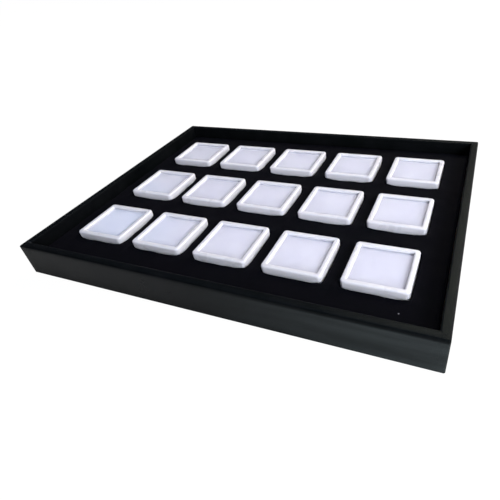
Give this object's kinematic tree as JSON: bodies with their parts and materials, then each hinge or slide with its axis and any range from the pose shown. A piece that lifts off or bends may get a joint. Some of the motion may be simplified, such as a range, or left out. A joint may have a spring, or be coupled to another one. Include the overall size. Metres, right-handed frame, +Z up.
{
  "type": "jewelry sample case",
  "caption": "Open leatherette display tray with a velvet insert whose square wells hold white gem boxes with foam pads and lift-off window lids.",
  "frame": {"origin": "centre of the underside", "axes": "+X along the long side, +Y from the front to the back, +Z up"},
  "size_m": [0.35, 0.27, 0.03],
  "materials": {
    "board": "raw fibreboard",
    "brad_wire": "bare wire",
    "leatherette": "black, fine grain, satin",
    "lining_cloth": "matt black cloth",
    "black_foam": "fine closed foam",
    "velvet": "black short pile",
    "white_plastic": "white, moulded, glossy",
    "pad_foam": "fine white foam",
    "clear_pane": "clear, polished"
  },
  "bodies": {
    "tray": {"base_board": "board", "front_rail": "board", "back_rail": "board", "left_rail": "board", "right_rail": "board", "corner_brads": "brad_wire", "front_cover": "leatherette", "back_cover": "leatherette", "left_cover": "leatherette", "right_cover": "leatherette", "bottom_lining": "lining_cloth", "floor_lining": "lining_cloth", "insert_foam": "black_foam", "insert_velvet": "velvet"},
    "gem_box_01": {"gem_cup_01": "white_plastic"},
    "lid_01": {"gem_lid_01": "white_plastic", "gem_window_01": "clear_pane"},
    "gem_box_02": {"gem_cup_02": "white_plastic"},
    "lid_02": {"gem_lid_02": "white_plastic", "gem_window_02": "clear_pane"},
    "gem_box_03": {"gem_cup_03": "white_plastic"},
    "lid_03": {"gem_lid_03": "white_plastic", "gem_window_03": "clear_pane"},
    "gem_box_04": {"gem_cup_04": "white_plastic"},
    "lid_04": {"gem_lid_04": "white_plastic", "gem_window_04": "clear_pane"},
    "gem_box_05": {"gem_cup_05": "white_plastic"},
    "lid_05": {"gem_lid_05": "white_plastic", "gem_window_05": "clear_pane"},
    "gem_box_06": {"gem_cup_06": "white_plastic"},
    "lid_06": {"gem_lid_06": "white_plastic", "gem_window_06": "clear_pane"},
    "gem_box_07": {"gem_cup_07": "white_plastic"},
    "lid_07": {"gem_lid_07": "white_plastic", "gem_window_07": "clear_pane"},
    "gem_box_08": {"gem_cup_08": "white_plastic"},
    "lid_08": {"gem_lid_08": "white_plastic", "gem_window_08": "clear_pane"},
    "gem_box_09": {"gem_cup_09": "white_plastic"},
    "lid_09": {"gem_lid_09": "white_plastic", "gem_window_09": "clear_pane"},
    "gem_box_10": {"gem_cup_10": "white_plastic"},
    "lid_10": {"gem_lid_10": "white_plastic", "gem_window_10": "clear_pane"},
    "gem_box_11": {"gem_cup_11": "white_plastic"},
    "lid_11": {"gem_lid_11": "white_plastic", "gem_window_11": "clear_pane"},
    "gem_box_12": {"gem_cup_12": "white_plastic"},
    "lid_12": {"gem_lid_12": "white_plastic", "gem_window_12": "clear_pane"},
    "gem_box_13": {"gem_cup_13": "white_plastic"},
    "lid_13": {"gem_lid_13": "white_plastic", "gem_window_13": "clear_pane"},
    "gem_box_14": {"gem_cup_14": "white_plastic"},
    "lid_14": {"gem_lid_14": "white_plastic", "gem_window_14": "clear_pane"},
    "gem_box_15": {"gem_cup_15": "white_plastic"},
    "lid_15": {"gem_lid_15": "white_plastic", "gem_window_15": "clear_pane"}
  },
  "joints": [
    {"name": "gem_box_01_lift", "type": "slide", "parent": "tray", "child": "gem_box_01", "axis": [0, 0, 1], "range_m": [0, 0.06]},
    {"name": "lid_01_lift", "type": "slide", "parent": "gem_box_01", "child": "lid_01", "axis": [0, 0, 1], "range_m": [0, 0.03]},
    {"name": "gem_box_02_lift", "type": "slide", "parent": "tray", "child": "gem_box_02", "axis": [0, 0, 1], "range_m": [0, 0.06]},
    {"name": "lid_02_lift", "type": "slide", "parent": "gem_box_02", "child": "lid_02", "axis": [0, 0, 1], "range_m": [0, 0.03]},
    {"name": "gem_box_03_lift", "type": "slide", "parent": "tray", "child": "gem_box_03", "axis": [0, 0, 1], "range_m": [0, 0.06]},
    {"name": "lid_03_lift", "type": "slide", "parent": "gem_box_03", "child": "lid_03", "axis": [0, 0, 1], "range_m": [0, 0.03]},
    {"name": "gem_box_04_lift", "type": "slide", "parent": "tray", "child": "gem_box_04", "axis": [0, 0, 1], "range_m": [0, 0.06]},
    {"name": "lid_04_lift", "type": "slide", "parent": "gem_box_04", "child": "lid_04", "axis": [0, 0, 1], "range_m": [0, 0.03]},
    {"name": "gem_box_05_lift", "type": "slide", "parent": "tray", "child": "gem_box_05", "axis": [0, 0, 1], "range_m": [0, 0.06]},
    {"name": "lid_05_lift", "type": "slide", "parent": "gem_box_05", "child": "lid_05", "axis": [0, 0, 1], "range_m": [0, 0.03]},
    {"name": "gem_box_06_lift", "type": "slide", "parent": "tray", "child": "gem_box_06", "axis": [0, 0, 1], "range_m": [0, 0.06]},
    {"name": "lid_06_lift", "type": "slide", "parent": "gem_box_06", "child": "lid_06", "axis": [0, 0, 1], "range_m": [0, 0.03]},
    {"name": "gem_box_07_lift", "type": "slide", "parent": "tray", "child": "gem_box_07", "axis": [0, 0, 1], "range_m": [0, 0.06]},
    {"name": "lid_07_lift", "type": "slide", "parent": "gem_box_07", "child": "lid_07", "axis": [0, 0, 1], "range_m": [0, 0.03]},
    {"name": "gem_box_08_lift", "type": "slide", "parent": "tray", "child": "gem_box_08", "axis": [0, 0, 1], "range_m": [0, 0.06]},
    {"name": "lid_08_lift", "type": "slide", "parent": "gem_box_08", "child": "lid_08", "axis": [0, 0, 1], "range_m": [0, 0.03]},
    {"name": "gem_box_09_lift", "type": "slide", "parent": "tray", "child": "gem_box_09", "axis": [0, 0, 1], "range_m": [0, 0.06]},
    {"name": "lid_09_lift", "type": "slide", "parent": "gem_box_09", "child": "lid_09", "axis": [0, 0, 1], "range_m": [0, 0.03]},
    {"name": "gem_box_10_lift", "type": "slide", "parent": "tray", "child": "gem_box_10", "axis": [0, 0, 1], "range_m": [0, 0.06]},
    {"name": "lid_10_lift", "type": "slide", "parent": "gem_box_10", "child": "lid_10", "axis": [0, 0, 1], "range_m": [0, 0.03]},
    {"name": "gem_box_11_lift", "type": "slide", "parent": "tray", "child": "gem_box_11", "axis": [0, 0, 1], "range_m": [0, 0.06]},
    {"name": "lid_11_lift", "type": "slide", "parent": "gem_box_11", "child": "lid_11", "axis": [0, 0, 1], "range_m": [0, 0.03]},
    {"name": "gem_box_12_lift", "type": "slide", "parent": "tray", "child": "gem_box_12", "axis": [0, 0, 1], "range_m": [0, 0.06]},
    {"name": "lid_12_lift", "type": "slide", "parent": "gem_box_12", "child": "lid_12", "axis": [0, 0, 1], "range_m": [0, 0.03]},
    {"name": "gem_box_13_lift", "type": "slide", "parent": "tray", "child": "gem_box_13", "axis": [0, 0, 1], "range_m": [0, 0.06]},
    {"name": "lid_13_lift", "type": "slide", "parent": "gem_box_13", "child": "lid_13", "axis": [0, 0, 1], "range_m": [0, 0.03]},
    {"name": "gem_box_14_lift", "type": "slide", "parent": "tray", "child": "gem_box_14", "axis": [0, 0, 1], "range_m": [0, 0.06]},
    {"name": "lid_14_lift", "type": "slide", "parent": "gem_box_14", "child": "lid_14", "axis": [0, 0, 1], "range_m": [0, 0.03]},
    {"name": "gem_box_15_lift", "type": "slide", "parent": "tray", "child": "gem_box_15", "axis": [0, 0, 1], "range_m": [0, 0.06]},
    {"name": "lid_15_lift", "type": "slide", "parent": "gem_box_15", "child": "lid_15", "axis": [0, 0, 1], "range_m": [0, 0.03]}
  ]
}
